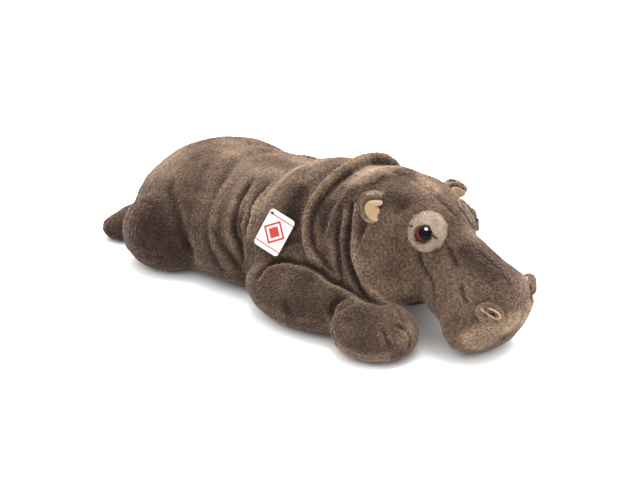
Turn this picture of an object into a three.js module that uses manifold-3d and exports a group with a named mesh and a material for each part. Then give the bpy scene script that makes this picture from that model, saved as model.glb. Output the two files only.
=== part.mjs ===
// A stuffed plush hippopotamus, lying on its belly with its chin on the floor.
// Millimetres, +X towards the muzzle, +Y to the animal's left, +Z up. The floor is z = 0.
//
// Every stuffed piece is a blend of a few ellipsoids and tapered limbs, drawn as a closed skin
// that is found by rays sent out from a spine inside it. Neighbours are then cut back from each
// other, so the sewn joints meet face to face with a small gap.

import * as THREE from "three";
import { mergeVertices } from "three/addons/utils/BufferGeometryUtils.js";
import Module from "manifold-3d";

const wasm = await Module();
wasm.setup();

// ---- Driving sizes ------------------------------------------------------------------------------
// Stations along X are counted from under the muzzle, and the origin is set at the end.

const JOINT_GAP = 0.35; // left between two sewn pieces
const SIDES = [["right", 1], ["left", -1]];

const AT = {
  rump: -335, loin: -262, shoulder: -190, hood: -150, neck: -122, skull: -93, brow: -76, snout: 3,
};
const HEIGHT = {
  rump: 107, shoulder: 123, hood: 134, neck: 133, skull: 132, forearm: 61, paw: 48, thigh: 78,
};
const HALF_WIDTH = { rump: 96, loin: 92, shoulder: 86, neck: 72, skull: 60, snout: 52 };
const SPREAD = { foreleg: 73, forepaw: 79, hindleg: 70 }; // from the middle line to each leg
const DRAWN_BACK = { right: [0, 0], left: [26, 42] }; // how far each arm and paw is drawn back
const HEAD_TURN = -4; // degrees on the neck, towards the animal's right
const HEAD_PIVOT = -112;

const PLUSH = 0x6d5a4c;
const SUEDE = 0xd3b48a;
const LID = 0xd2c3ac;
const GLASS = 0x2a1a12;
const CARD = 0xf3efe6;
const NYLON = 0x1c1a18;

// ---- Soft shapes: functions that give the distance to a surface ---------------------------------

const vec = (x, y, z) => new THREE.Vector3(x, y, z);
const radians = THREE.MathUtils.degToRad;

/** An ellipsoid with its centre, its half sizes and its turns about X, Y and Z in degrees. */
function ball(centre, half, turn = [0, 0, 0]) {
  const spin = new THREE.Euler(...turn.map(radians), "ZYX");
  const back = new THREE.Matrix4().makeRotationFromEuler(spin).invert();
  const q = vec(0, 0, 0);
  return (p) => {
    q.set(p.x - centre[0], p.y - centre[1], p.z - centre[2]).applyMatrix4(back);
    const near = Math.hypot(q.x / half[0], q.y / half[1], q.z / half[2]);
    const steep = Math.hypot(q.x / half[0] ** 2, q.y / half[1] ** 2, q.z / half[2] ** 2);
    return steep < 1e-9 ? -Math.min(...half) : (near * (near - 1)) / steep;
  };
}

/** A limb with round ends that tapers from one radius to the other. */
function limb(from, to, radiusFrom, radiusTo) {
  const a = vec(...from);
  const along = vec(...to).sub(a);
  const q = vec(0, 0, 0);
  return (p) => {
    q.copy(p).sub(a);
    const t = THREE.MathUtils.clamp(q.dot(along) / along.lengthSq(), 0, 1);
    return q.addScaledVector(along, -t).length() - THREE.MathUtils.lerp(radiusFrom, radiusTo, t);
  };
}

/** Joins shapes with a fillet of about the given size. */
function blend(size, ...shapes) {
  return (p) =>
    shapes.map((shape) => shape(p)).reduce((a, b) => {
      const h = Math.max(size - Math.abs(a - b), 0) / size;
      return Math.min(a, b) - (h * h * size) / 4;
    });
}

/** Cuts a shape off at a level, with a rounded edge. */
function flatBelow(level, size, shape) {
  return (p) => {
    const a = shape(p);
    const b = level - p.z;
    const h = Math.max(size - Math.abs(a - b), 0) / size;
    return Math.max(a, b) + (h * h * size) / 4;
  };
}

const grown = (shape, by) => (p) => shape(p) - by;

// ---- Skins --------------------------------------------------------------------------------------

/** The distance from a point inside the shape to its surface, along a ray. */
function reach(shape, from, direction) {
  const p = vec(0, 0, 0);
  const at = (r) => shape(p.copy(from).addScaledVector(direction, r));
  let outer = 1;
  while (at(outer) < 0 && outer < 400) outer += 2;
  let inner = Math.max(outer - 2, 0);
  for (let i = 0; i < 18; i++) {
    const middle = (inner + outer) / 2;
    if (at(middle) < 0) inner = middle;
    else outer = middle;
  }
  return (inner + outer) / 2;
}

/** A closed skin over a shape: rings of rays round a spine, with fans of rays over both ends. */
function skin(shape, { spine, rings, ends, around }) {
  const [a, b] = spine.map((p) => vec(...p));
  const along = b.clone().sub(a).normalize();
  const side = vec(-along.y, along.x, 0);
  if (side.length() < 1e-3) side.set(0, 1, 0);
  side.normalize();
  const up = along.clone().cross(side);
  const rows = [];
  for (let i = 1; i < ends; i++) rows.push([a, ((i - ends) / ends) * 90]);
  for (let i = 0; i <= rings; i++) rows.push([a.clone().lerp(b, i / rings), 0]);
  for (let i = 1; i < ends; i++) rows.push([b, (i / ends) * 90]);

  const points = [];
  const add = (from, direction) => {
    const r = reach(shape, from, direction);
    points.push(...from.clone().addScaledVector(direction, r).toArray());
  };
  for (const [from, tilt] of rows)
    for (let j = 0; j < around; j++) {
      const turn = (j / around) * 2 * Math.PI;
      const direction = side.clone().multiplyScalar(Math.cos(turn) * Math.cos(radians(tilt)));
      direction.addScaledVector(up, Math.sin(turn) * Math.cos(radians(tilt)));
      add(from, direction.addScaledVector(along, Math.sin(radians(tilt))));
    }
  add(a, along.clone().negate());
  add(b, along);

  const faces = [];
  const first = rows.length * around;
  for (let j = 0; j < around; j++) {
    const k = (j + 1) % around;
    const last = (rows.length - 1) * around;
    faces.push(first, k, j, first + 1, last + j, last + k);
    for (let i = 0; i + 1 < rows.length; i++) {
      const [p, q, r, s] = [i * around + j, i * around + k, (i + 1) * around + k, (i + 1) * around + j];
      faces.push(p, q, r, p, r, s);
    }
  }
  const geometry = new THREE.BufferGeometry();
  geometry.setAttribute("position", new THREE.Float32BufferAttribute(points, 3));
  geometry.setIndex(faces);
  return geometry;
}

// ---- Joining and cutting ------------------------------------------------------------------------

function solid(geometry) {
  const bare = geometry.clone();
  bare.deleteAttribute("normal");
  bare.deleteAttribute("uv");
  const merged = mergeVertices(bare, 1e-4);
  return new wasm.Manifold(
    new wasm.Mesh({
      numProp: 3,
      vertProperties: merged.attributes.position.array,
      triVerts: new Uint32Array(merged.index.array),
    }),
  );
}

function geometryOf(made) {
  const { vertProperties, triVerts } = made.getMesh();
  const geometry = new THREE.BufferGeometry();
  geometry.setAttribute("position", new THREE.BufferAttribute(new Float32Array(vertProperties), 3));
  geometry.setIndex(new THREE.BufferAttribute(new Uint32Array(triVerts), 1));
  return geometry;
}

/** The geometry less the pieces that it is sewn against. */
function cutBack(geometry, cutters) {
  const made = cutters.reduce((rest, cutter) => rest.subtract(solid(cutter)), solid(geometry));
  const bodies = made.decompose().sort((a, b) => b.volume() - a.volume());
  return geometryOf(bodies[0]);
}

// ---- The toy, and how a piece is added to it ----------------------------------------------------

const toy = new THREE.Group();

function place(name, geometry, colour = PLUSH, roughness = 0.9) {
  const material = new THREE.MeshStandardMaterial({ color: colour, roughness, metalness: 0 });
  const mesh = new THREE.Mesh(geometry, material);
  mesh.name = name;
  toy.add(mesh);
}

/** A point given for the right side, which is -Y, or the same point on the left side. */
const mirrored = ([x, y, z], side) => [x, y * side, z];

/** A stuffed piece: its skin, and the same skin grown by the gap that its neighbours keep. */
function stuffed(shape, rays, pose = new THREE.Matrix4()) {
  return {
    body: skin(shape, rays).applyMatrix4(pose),
    room: skin(grown(shape, JOINT_GAP), rays).applyMatrix4(pose),
  };
}

// ---- Trunk: rump, loin and shoulders in one sack, flat on the floor -----------------------------

const trunk = stuffed(
  flatBelow(0, 14,
    blend(14,
      ball([AT.rump, 0, HEIGHT.rump - 70], [80, HALF_WIDTH.rump, 70]),
      ball([AT.loin, 0, HEIGHT.rump - 67], [90, HALF_WIDTH.loin, 67]),
      ball([AT.shoulder, 0, HEIGHT.shoulder - 72], [58, HALF_WIDTH.shoulder, 72], [0, -4, 0]),
      ball([AT.hood - 12, 0, 62], [26, 73, 64], [0, -8, 0]),
    ),
  ),
  { spine: [[AT.rump + 5, 0, 40], [AT.hood - 2, 0, 62]], rings: 14, ends: 5, around: 30 },
);
place("trunk", trunk.body);

// ---- Neck ---------------------------------------------------------------------------------------

const neck = stuffed(
  flatBelow(6, 10, ball([AT.neck, 0, HEIGHT.neck - 66], [56, HALF_WIDTH.neck, 66], [0, -6, 0])),
  { spine: [[AT.neck - 8, 0, 66], [AT.neck + 22, 0, 66]], rings: 2, ends: 4, around: 22 },
);
place("neck", cutBack(neck.body, [trunk.room]));

// ---- Head and muzzle, turned a little on the neck -----------------------------------------------

const headPose = new THREE.Matrix4()
  .makeTranslation(HEAD_PIVOT, 0, 0)
  .multiply(new THREE.Matrix4().makeRotationZ(radians(HEAD_TURN)))
  .multiply(new THREE.Matrix4().makeTranslation(-HEAD_PIVOT, 0, 0));

const head = stuffed(
  flatBelow(0, 10,
    blend(14,
      ball([AT.skull, 0, HEIGHT.skull - 58], [43, HALF_WIDTH.skull, 58]),
      ball([AT.skull + 13, 0, 56], [44, 54, 34]),
      ball([AT.brow, 0, 87], [58, 42, 41], [0, 23, 0]),
    ),
  ),
  { spine: [[AT.skull - 5, 0, 72], [AT.skull + 31, 0, 72]], rings: 4, ends: 6, around: 26 },
  headPose,
);
place("head", cutBack(head.body, [trunk.room, neck.room]));

// The bridge of the nose, the cheeks under it, and the broad bag of the lips.
const muzzle = stuffed(
  flatBelow(0, 1,
    blend(12,
      limb([-36, 0, 76], [8, 0, 54], 27, 26),
      ball([-22, 0, 52], [36, 42, 33], [0, 8, 0]),
      blend(12,
        ball([AT.snout, 2, 35.5], [26, HALF_WIDTH.snout, 37.5], [0, 12, 0]),
        ball([AT.snout + 4, 2, 48], [27, 36, 24], [0, 12, 0]),
      ),
    ),
  ),
  { spine: [[-40, 0, 72], [2, 0, 38]], rings: 6, ends: 5, around: 24 },
  headPose,
);
place("muzzle", cutBack(muzzle.body, [head.room]));

// ---- Legs ---------------------------------------------------------------------------------------

function foreleg(side, back) {
  const y = SPREAD.foreleg;
  const at = mirrored([-145 - back, -y, HEIGHT.forearm - 33], side);
  return stuffed(
    flatBelow(0, 5, ball(at, [70, 40, 33], [0, 0, 4 * side])),
    {
      spine: [mirrored([-175 - back, -y - 1, 26], side), mirrored([-115 - back, 2 - y, 26], side)],
      rings: 4, ends: 4, around: 16,
    },
  );
}

function forepaw(side, back) {
  const y = SPREAD.forepaw;
  const at = mirrored([-62 - back, -y, HEIGHT.paw - 27], side);
  return stuffed(
    flatBelow(0, 5, ball(at, [40, 37, 27], [0, 0, 11 * side])),
    {
      spine: [mirrored([-72 - back, -y - 1, 20], side), mirrored([-52 - back, 1 - y, 20], side)],
      rings: 2, ends: 4, around: 18,
    },
  );
}

/** The thigh with the foot folded under it. */
function hindleg(side) {
  const y = SPREAD.hindleg;
  const at = mirrored([AT.rump + 1, -y, HEIGHT.thigh - 42], side);
  return stuffed(
    flatBelow(0, 5, ball(at, [50, 45, 42], [0, -10, 3 * side])),
    {
      spine: [mirrored([AT.rump - 13, -y, 32], side), mirrored([AT.rump + 9, -y, 32], side)],
      rings: 2, ends: 5, around: 18,
    },
  );
}

const arms = {};
const thighs = {};
for (const [name, side] of SIDES) {
  const middle = [trunk.room, neck.room, head.room, muzzle.room];
  const [armBack, pawBack] = DRAWN_BACK[name];
  arms[name] = foreleg(side, armBack);
  thighs[name] = hindleg(side);
  place(`foreleg_${name}`, cutBack(arms[name].body, middle));
  place(`forepaw_${name}`, cutBack(forepaw(side, pawBack).body, [...middle, arms[name].room]));
  place(`hindleg_${name}`, cutBack(thighs[name].body, [trunk.room]));
}

// ---- Hood: the loose skin of the shoulders rolls up into a fold round the back of the neck ------

const HOOD = { halfWidth: 67, halfHeight: 59, thickness: 9.5, lean: -8, below: 24, points: 15 };

function hoodRoll() {
  const { halfWidth, halfHeight, thickness, lean, below, points } = HOOD;
  const path = new THREE.CatmullRomCurve3(
    Array.from({ length: points }, (_, i) => {
      const turn = radians(THREE.MathUtils.lerp(-below, 180 + below, i / (points - 1)));
      return vec(0, halfWidth * Math.cos(turn), halfHeight * Math.sin(turn));
    }),
  );
  const section = new THREE.Shape().absarc(0, 0, thickness, 0, 2 * Math.PI);
  const roll = new THREE.ExtrudeGeometry(section, { steps: 20, extrudePath: path, curveSegments: 4 });
  return roll.rotateY(radians(lean)).translate(AT.hood, 0, HEIGHT.hood - halfHeight - thickness);
}

place("hood", cutBack(hoodRoll(), [trunk.room, neck.room, arms.right.room, arms.left.room]));

// ---- Tail: a short flat leaf, swung round to the right and lying on the floor -------------------

const tail = stuffed(
  flatBelow(0, 2,
    blend(10,
      limb([-402, -16, 26], [-420, -44, 17], 14, 15),
      ball([-413, -58, 13], [28, 20, 16], [0, -4, 38]),
    ),
  ),
  { spine: [[-408, -28, 20], [-420, -60, 14]], rings: 4, ends: 3, around: 12 },
);
place("tail", cutBack(tail.body, [trunk.room, thighs.right.room]));

// ---- Ears, eyes and nostrils, each built in a seat of its own on the head -----------------------

/** A frame on the head: its place, the way it faces (local +Z) and the way its long side runs (+Y). */
function seat(at, facing, along, side) {
  const z = vec(...mirrored(facing, side)).normalize();
  const y = vec(...mirrored(along, side));
  y.addScaledVector(z, -z.dot(y)).normalize();
  const basis = new THREE.Matrix4().makeBasis(y.clone().cross(z), y, z);
  return headPose.clone().multiply(basis.setPosition(...mirrored(at, side)));
}

/** A ball of given half sizes in the frame of a seat, set off from it by a step. */
function pad(half, frame, step = [0, 0, 0], around = 14) {
  const geometry = new THREE.SphereGeometry(1, around, Math.round(around * 0.6));
  return geometry.scale(...half).translate(...step).applyMatrix4(frame);
}

const EAR = {
  at: { right: [-91, -46, 118], left: [-86, -52, 108] }, // the left one is sewn lower and further forward
  facing: { right: [0.85, -0.46, 0.12], left: [0.1, -0.95, 0.3] }, // and turned further out
  outer: [12, 15, 8],
  hollow: [10.2, 13, 7],
  lining: [5.8, 7.6, 1.1],
};
const EYE = {
  at: { right: [-43.5, -27, 104], left: [-49.5, -28, 102] },
  facing: { right: [0.42, -0.72, 0.55], left: [0.36, -0.72, 0.58] },
  lid: [16.5, 17, 6.5],
  radius: 7.5,
  step: { right: [-2.5, -4, 2.6], left: [3, -3.5, 1] }, // from the middle of the lid pad to the eye
};
const NOSTRIL = { radius: 8.8, tube: 3.2, squeeze: 0.68, lining: [2.4, 5, 2.4] };

for (const [name, side] of SIDES) {
  const ear = seat(EAR.at[name], EAR.facing[name], [0, -0.35, 1], side);
  const hollow = pad(EAR.hollow, ear, [0, 1, 3]);
  place(`ear_${name}`, cutBack(pad(EAR.outer, ear, [0, 0, -2]), [hollow, head.room]));
  place(`ear_lining_${name}`, cutBack(pad(EAR.lining, ear, [0, 1, -1.7], 12), [head.room]), SUEDE);

  const lid = seat(EYE.at[name], EYE.facing[name], [0, 0, 1], side);
  const globe = (radius) => pad([radius, radius, radius], lid, EYE.step[name]);
  place(`eye_${name}`, cutBack(globe(EYE.radius), [head.room]), GLASS, 0.1);
  place(`eyelid_${name}`, cutBack(pad(EYE.lid, lid), [head.room, globe(EYE.radius + JOINT_GAP)]), LID);

  const nostril = seat([29, -25, 51.5], [0.85, -0.45, 0.28], [-0.2, -0.8, 0.45], side);
  const rim = new THREE.TorusGeometry(NOSTRIL.radius, NOSTRIL.tube, 6, 14).scale(NOSTRIL.squeeze, 1, 1);
  place(`nostril_${name}`, cutBack(rim.applyMatrix4(nostril), [muzzle.room]));
  const lining = cutBack(pad(NOSTRIL.lining, nostril, [0, 0, 0], 8), [muzzle.room]);
  place(`nostril_lining_${name}`, lining, SUEDE);
}

// ---- Swing tag: a round-cornered card on a short nylon thread with a bead -----------------------

const TAG = { width: 27, height: 36, corner: 3.5, thick: 0.6, hole: 1.4, holeAt: [-10.3, 14] };
const THREAD = { radius: 0.5, length: 12, bead: 1.1 };
const tagFrame = new THREE.Matrix4()
  .makeBasis(vec(0.928, 0.176, -0.329), vec(0.221, 0.449, 0.866), vec(0.3, -0.876, 0.378))
  .setPosition(-180.9, -81.4, 79.1);

function tagCard() {
  const { width, height, corner, thick, hole, holeAt } = TAG;
  const [w, h] = [width / 2 - corner, height / 2 - corner];
  const outline = new THREE.Shape();
  for (const [i, [x, y]] of [[w, h], [-w, h], [-w, -h], [w, -h]].entries())
    outline.absarc(x, y, corner, (i * Math.PI) / 2, ((i + 1) * Math.PI) / 2);
  outline.holes.push(new THREE.Path().absarc(...holeAt, hole, 0, 2 * Math.PI, true));
  return new THREE.ExtrudeGeometry(outline, { depth: thick, bevelEnabled: false, curveSegments: 4 });
}

/** The thread runs from the plush through the card's hole to the bead in front of it. */
function tagThread() {
  const { radius, length, bead } = THREAD;
  const thread = new THREE.CapsuleGeometry(radius, length, 3, 6).rotateX(Math.PI / 2);
  thread.translate(...TAG.holeAt, bead + TAG.thick - length / 2);
  const end = new THREE.SphereGeometry(bead, 8, 6).translate(...TAG.holeAt, bead + TAG.thick + 0.3);
  return geometryOf(solid(thread).add(solid(end)));
}

place("tag", tagCard().applyMatrix4(tagFrame), CARD, 0.6);
place("tag_fastener", cutBack(tagThread().applyMatrix4(tagFrame), [trunk.room]), NYLON, 0.4);

// ---- The origin lies on the floor, under the middle of the toy's box ----------------------------

const box = new THREE.Box3().setFromObject(toy);
const middle = box.getCenter(vec(0, 0, 0));
for (const mesh of toy.children) mesh.geometry.translate(-middle.x, -middle.y, -box.min.z);

export default toy;
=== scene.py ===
import math

import bmesh
import bpy
import numpy as np
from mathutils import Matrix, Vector, noise
from mathutils.bvhtree import BVHTree
from mathutils.kdtree import KDTree


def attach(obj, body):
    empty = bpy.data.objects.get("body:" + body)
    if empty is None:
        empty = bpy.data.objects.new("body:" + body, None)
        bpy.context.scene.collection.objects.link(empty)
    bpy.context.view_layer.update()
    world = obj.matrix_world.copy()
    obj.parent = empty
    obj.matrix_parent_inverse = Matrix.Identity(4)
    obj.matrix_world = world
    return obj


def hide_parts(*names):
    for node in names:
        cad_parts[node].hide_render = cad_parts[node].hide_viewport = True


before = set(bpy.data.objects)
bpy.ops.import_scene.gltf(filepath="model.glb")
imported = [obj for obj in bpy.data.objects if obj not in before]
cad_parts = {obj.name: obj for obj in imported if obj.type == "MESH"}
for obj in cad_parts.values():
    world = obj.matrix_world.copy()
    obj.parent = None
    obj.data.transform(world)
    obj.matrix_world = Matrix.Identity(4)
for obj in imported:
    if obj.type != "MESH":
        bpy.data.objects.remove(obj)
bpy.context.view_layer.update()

# ---- Studio -------------------------------------------------------------------------------------
# A white sweep of paper in a white room, lit by one wide soft box high up behind the toy. The
# camera looks down a little at the toy's right cheek.

MM = 0.001
CAMERA_TURN, CAMERA_RISE, CAMERA_DISTANCE = 44, 22.5, 1.7
CAMERA_AIM = Vector((-0.0721, 0.0714, 0.0))
SENSOR, LENS = 36, 95.6
ROOM_AT_FLOOR, ROOM_OVERHEAD = 0.95, 2.9
SWEEP_RADIUS = 6


def towards(azimuth, elevation):
    """The direction from the toy to a place round it, in degrees: azimuth 0 is -Y, and 90 is +X."""
    turn, rise = math.radians(azimuth), math.radians(elevation)
    return Vector((math.sin(turn) * math.cos(rise), -math.cos(turn) * math.cos(rise), math.sin(rise)))


def linear(text):
    """The linear colour of an sRGB hex value."""
    shares = [int(text[i:i + 2], 16) / 255 for i in (0, 2, 4)]
    return [s / 12.92 if s <= 0.04045 else ((s + 0.055) / 1.055) ** 2.4 for s in shares] + [1.0]


def add(tree, kind, settings=None, values=None, links=None):
    """Adds a shader node with its settings, its sockets' values and the links into it.

    A Mix of colours has them at sockets 6 and 7. A Map Range has the old ends of its range at
    sockets 1 and 2, and the new ones at 3 and 4.
    """
    made = tree.nodes.new("ShaderNode" + kind)
    for name, value in (settings or {}).items():
        setattr(made, name, value)
    for socket, value in (values or {}).items():
        made.inputs[socket].default_value = value
    for socket, source in (links or {}).items():
        tree.links.new(source, made.inputs[socket])
    return made


def material_of(name, finish):
    """A new material, its nodes and its shader, with these values on the shader's own sockets."""
    made = bpy.data.materials.new(name)
    made.use_nodes = True
    shader = made.node_tree.nodes["Principled BSDF"]
    for socket, value in finish.items():
        shader.inputs[socket].default_value = value
    return made, made.node_tree, shader


def linked(ob):
    """Puts a new object into the scene."""
    bpy.context.scene.collection.objects.link(ob)
    return ob


def soft_box(name, kind, azimuth, elevation, energy):
    """A lamp that shines on the toy from this direction round it."""
    lamp = bpy.data.lights.new(name, kind)
    lamp.energy = energy
    way = towards(azimuth, elevation)
    stand = linked(bpy.data.objects.new(name, lamp))
    stand.rotation_euler = way.to_track_quat("Z", "Y").to_euler()
    return lamp, stand, way


scene = bpy.context.scene
scene.view_settings.view_transform = "Standard"

camera = linked(bpy.data.objects.new("camera", bpy.data.cameras.new("camera")))
camera.data.sensor_width = SENSOR
camera.data.lens = LENS
back = towards(CAMERA_TURN, CAMERA_RISE)
camera.location = CAMERA_AIM + back * CAMERA_DISTANCE
camera.rotation_euler = (-back).to_track_quat("-Z", "Y").to_euler()
scene.camera = camera

key_light, _, _ = soft_box("key_light", "SUN", azimuth=188, elevation=70, energy=5.0)
key_light.angle = math.radians(50)

# A round soft box overhead shows as the bright spot in the eyes, and is screened from all the rest.
BETWEEN_EYES = Vector((0.155, -0.04, 0.1))
eye_light, stand, way = soft_box("eye_light", "AREA", azimuth=95, elevation=77, energy=1100)
eye_light.shape = "DISK"
eye_light.size = 1.3
stand.location = BETWEEN_EYES + way * 2
stand.visible_diffuse = False
shining = bpy.data.collections.new("shining")
stand.light_linking.receiver_collection = shining

world = bpy.data.worlds.new("room")
world.use_nodes = True
room = world.node_tree
height = add(room, "SeparateXYZ", links={0: add(room, "TexCoord").outputs["Generated"]})
glow = add(room, "MapRange", values={1: 0.0, 2: 1.0, 3: ROOM_AT_FLOOR, 4: ROOM_OVERHEAD},
           links={0: height.outputs["Z"]})
room.links.new(glow.outputs[0], room.nodes["Background"].inputs["Strength"])
room.nodes["Background"].inputs["Color"].default_value = linear("ffffff")
scene.world = world

# Matt paper: an even pale ground with no gloss.
paper, _, _ = material_of("white_paper", {"Base Color": linear("f2f2f2"), "Roughness": 0.9})
sweep = bmesh.new()
bmesh.ops.create_circle(sweep, cap_ends=True, segments=96, radius=SWEEP_RADIUS)
floor_mesh = bpy.data.meshes.new("floor")
sweep.to_mesh(floor_mesh)
sweep.free()
floor = linked(bpy.data.objects.new("floor", floor_mesh))
floor.data.materials.append(paper)

# ---- Body: one stuffed skin of plush cloth ------------------------------------------------------
# Panels of long-pile plush are sewn together inside out, turned and stuffed with loose fibre. The
# cloth rolls into folds where a piece joins its neighbour, and dips along each seam.

COAT_DEPTH = 1.5 * MM
SKIN_VOXEL, SKIN_ROUNDS = 1.7 * MM, 60
CLOTH_SWELL = 0.4 * MM
SAME_PLACE = 1e-6
LEGS = [f"{part}_{side}" for part in ("foreleg", "forepaw", "hindleg") for side in ("right", "left")]
FLESH = ["trunk", "hood", "neck", "head", "muzzle", "tail", *LEGS]
FOREARMS, FOREPAWS = ["foreleg_right", "foreleg_left"], ["forepaw_right", "forepaw_left"]
HAUNCHES = ["hindleg_right", "hindleg_left"]


def read(items, name, width, kind=np.float32):
    """One property of all of a mesh's vertices, edges or triangles, as an array."""
    values = np.empty(len(items) * width, kind)
    items.foreach_get(name, values)
    return values.reshape(-1, width) if width > 1 else values


def normals(mesh):
    """The outward direction at each vertex."""
    return read(mesh.vertex_normals, "vector", 3)


def move_to(mesh, points):
    """Moves a mesh's vertices to these points."""
    mesh.vertices.foreach_set("co", points.ravel())
    mesh.update()


def averaged(values, mesh, rounds=1):
    """Each vertex's value averaged with its neighbours', over and over."""
    a, b = read(mesh.edges, "vertices", 2, np.int32).T
    count = np.bincount(a, minlength=len(values)) + np.bincount(b, minlength=len(values))
    for _ in range(rounds):
        total = np.empty_like(values)
        for k in range(values.shape[1]):
            gathered = np.bincount(a, values[b, k], len(values))
            total[:, k] = gathered + np.bincount(b, values[a, k], len(values))
        values = total / count[:, None]
    return values


def eased(points, mesh, rounds):
    """Smooths a surface by turns inwards and outwards, so that it keeps its size."""
    for _ in range(rounds):
        points = points + 0.5 * (averaged(points, mesh) - points)
        points = points - 0.52 * (averaged(points, mesh) - points)
    return points


def tree_of(places):
    """A tree that finds the nearest of these places."""
    tree = KDTree(len(places))
    for index, place in enumerate(places):
        tree.insert(place, index)
    tree.balance()
    return tree


def surface_tree(mesh, points):
    """A tree that finds places on a mesh's surface."""
    return BVHTree.FromPolygons(points.tolist(), [p.vertices[:] for p in mesh.polygons])


def soft_copy(nodes, voxel, rounds, wads=()):
    """One closed mesh round copies of these nodes and round wads (x, y, z, radius) of stuffing."""
    made = bmesh.new()
    for node in nodes:
        made.from_mesh(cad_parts[node].data)
    bmesh.ops.remove_doubles(made, verts=made.verts, dist=SAME_PLACE)
    for *place, radius in wads:
        ball = bmesh.ops.create_icosphere(made, subdivisions=3, radius=radius * MM)
        bmesh.ops.translate(made, verts=ball["verts"], vec=Vector(place) * MM)
    made.normal_update()
    for vert in made.verts:
        vert.co += vert.normal * CLOTH_SWELL
    mesh = bpy.data.meshes.new("rough")
    made.to_mesh(mesh)
    made.free()
    rough = linked(bpy.data.objects.new("rough", mesh))
    remesh = rough.modifiers.new("voxels", "REMESH")
    remesh.mode = "VOXEL"
    remesh.voxel_size = voxel
    graph = bpy.context.evaluated_depsgraph_get()
    fine = bpy.data.meshes.new_from_object(rough.evaluated_get(graph))
    bpy.data.objects.remove(rough)
    move_to(fine, eased(read(fine.vertices, "co", 3), fine, rounds))
    return fine


# Both cheeks are stuffed out over the tops of the arms.
CHEEK = [(105, -57, 65, 10), (111, -58, 56, 10.5), (120, -57, 50, 11),
         (129, -53, 46.5, 10.5), (137, -44, 44.5, 10), (143, -36, 45, 9)]
CHEEKS = [*CHEEK, *((x, -y, z, r) for x, y, z, r in CHEEK)]
skin_mesh = soft_copy(FLESH, SKIN_VOXEL, SKIN_ROUNDS, wads=CHEEKS)
skin_points = read(skin_mesh.vertices, "co", 3)

# Each point of the skin belongs to the piece of the toy that is nearest.
flesh_points = [(k, v.co) for k, n in enumerate(FLESH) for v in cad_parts[n].data.vertices]
flesh_tree = tree_of([place for _, place in flesh_points])
skin_part = np.array([flesh_points[flesh_tree.find(p)[1]][0] for p in skin_points.tolist()])


def of(*names):
    """Which points of the skin belong to these pieces."""
    return np.isin(skin_part, [FLESH.index(n) for n in names])


def ripple(points, size, seed):
    """Smooth noise about -1 to 1, whose waves have the given size."""
    shift = Vector((seed * 7.3, seed * 3.1, seed * 5.7))
    return np.array([noise.noise(Vector(p) / size + shift) for p in points.tolist()])


def past(values, start, width):
    """0 up to the start (mm), 1 from the width (mm) beyond it, and even between."""
    return np.clip((values / MM - start) / width, 0, 1)


JOINT_GAP = 4 * MM
FILL_ROUNDS, FULL_HOLLOW = 120, 0.6 * MM


def near(one, other, reach):
    """How near each point is to the joint between two lots of pieces: 1 on it, 0 past the reach."""
    across = tree_of(skin_points[of(*other)].tolist())
    joint = tree_of([q for q in skin_points[of(*one)].tolist() if across.find(q)[2] < JOINT_GAP])
    away = np.array([joint.find(q)[2] for q in skin_points.tolist()])
    return np.clip(1 - away / reach, 0, 1)


def stuffed_out(points, share):
    """Fills the hollows near the joints up to a surface that is drawn smooth over them."""
    full = averaged(points, skin_mesh, FILL_ROUNDS)
    hollow = ((full - points) * normals(skin_mesh)).sum(1)
    share = averaged((share * np.clip(hollow / FULL_HOLLOW, 0, 1))[:, None], skin_mesh, 8)
    return points + (full - points) * share


# Where the cloth runs on from one piece to the next, the hollow between them is stuffed out.
ahead, upward = skin_points[:, 0], skin_points[:, 2]
muzzle_joint = near(["muzzle"], ["head"], reach=30 * MM)
haunch_joint = near(HAUNCHES, ["trunk"], reach=30 * MM) * (past(upward, 45, 20) * past(-ahead, 118, 20))
elbow_joint = near(FOREARMS, ["trunk", "hood"], reach=30 * MM) * past(-ahead, -45, 20)
wrist_joint = near(FOREPAWS, FOREARMS, reach=26 * MM)
chin_joint = near(["head", "neck"], FOREARMS, reach=20 * MM)
hood_joint = near(["hood"], ["neck", "trunk"], reach=26 * MM) * past(upward, 62, 10)
every_joint = np.max([muzzle_joint, haunch_joint, elbow_joint, wrist_joint, chin_joint, hood_joint], axis=0)
for joint in (every_joint, np.maximum(wrist_joint, chin_joint)):
    skin_points = stuffed_out(skin_points, np.clip(2 * joint, 0, 1))
    move_to(skin_mesh, skin_points)

# Each fold is a course over this smooth body, through places (x, y, z) in mm, or (x, turn) in
# degrees round its middle line from the right flank. It presses or lifts the cloth along the body's
# own outward direction, and pushes it sideways where one roll leans over the next.
MIDDLE_LINE = (0, 60)
base = skin_points
base_out = averaged(normals(skin_mesh), skin_mesh, 12)
base_out /= np.linalg.norm(base_out, axis=1)[:, None]
base_tree = surface_tree(skin_mesh, base)
lifted, shifted = np.zeros(len(base)), np.zeros((len(base), 3))


def spot_on_body(spot):
    """The place on the body that is nearest to (x, y, z), or at (x, turn) round its middle line."""
    if len(spot) == 3:
        return base_tree.find_nearest(Vector(spot) * MM)[0]
    turn = math.radians(spot[1])
    way = Vector((0, -math.cos(turn), math.sin(turn)))
    return base_tree.ray_cast(Vector((spot[0], *MIDDLE_LINE)) * MM, way)[0]


def course(line):
    """A smooth path over the body through these places, with a point at each millimetre."""
    found = [spot_on_body(spot) for spot in line]
    path = []
    for k in range(len(found) - 1):
        before, start, end, after = (found[min(max(k + j, 0), len(found) - 1)] for j in (-1, 0, 1, 2))
        steps = max(2, round((end - start).length / MM))
        for t in (j / steps for j in range(steps)):
            curve = 2 * start + (end - before) * t + (2 * before - 5 * start + 4 * end - after) * t ** 2
            path.append((curve + (3 * start - before - 3 * end + after) * t ** 3) / 2)
    return np.array([base_tree.find_nearest(q)[0] for q in [*path, found[-1]]])


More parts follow.
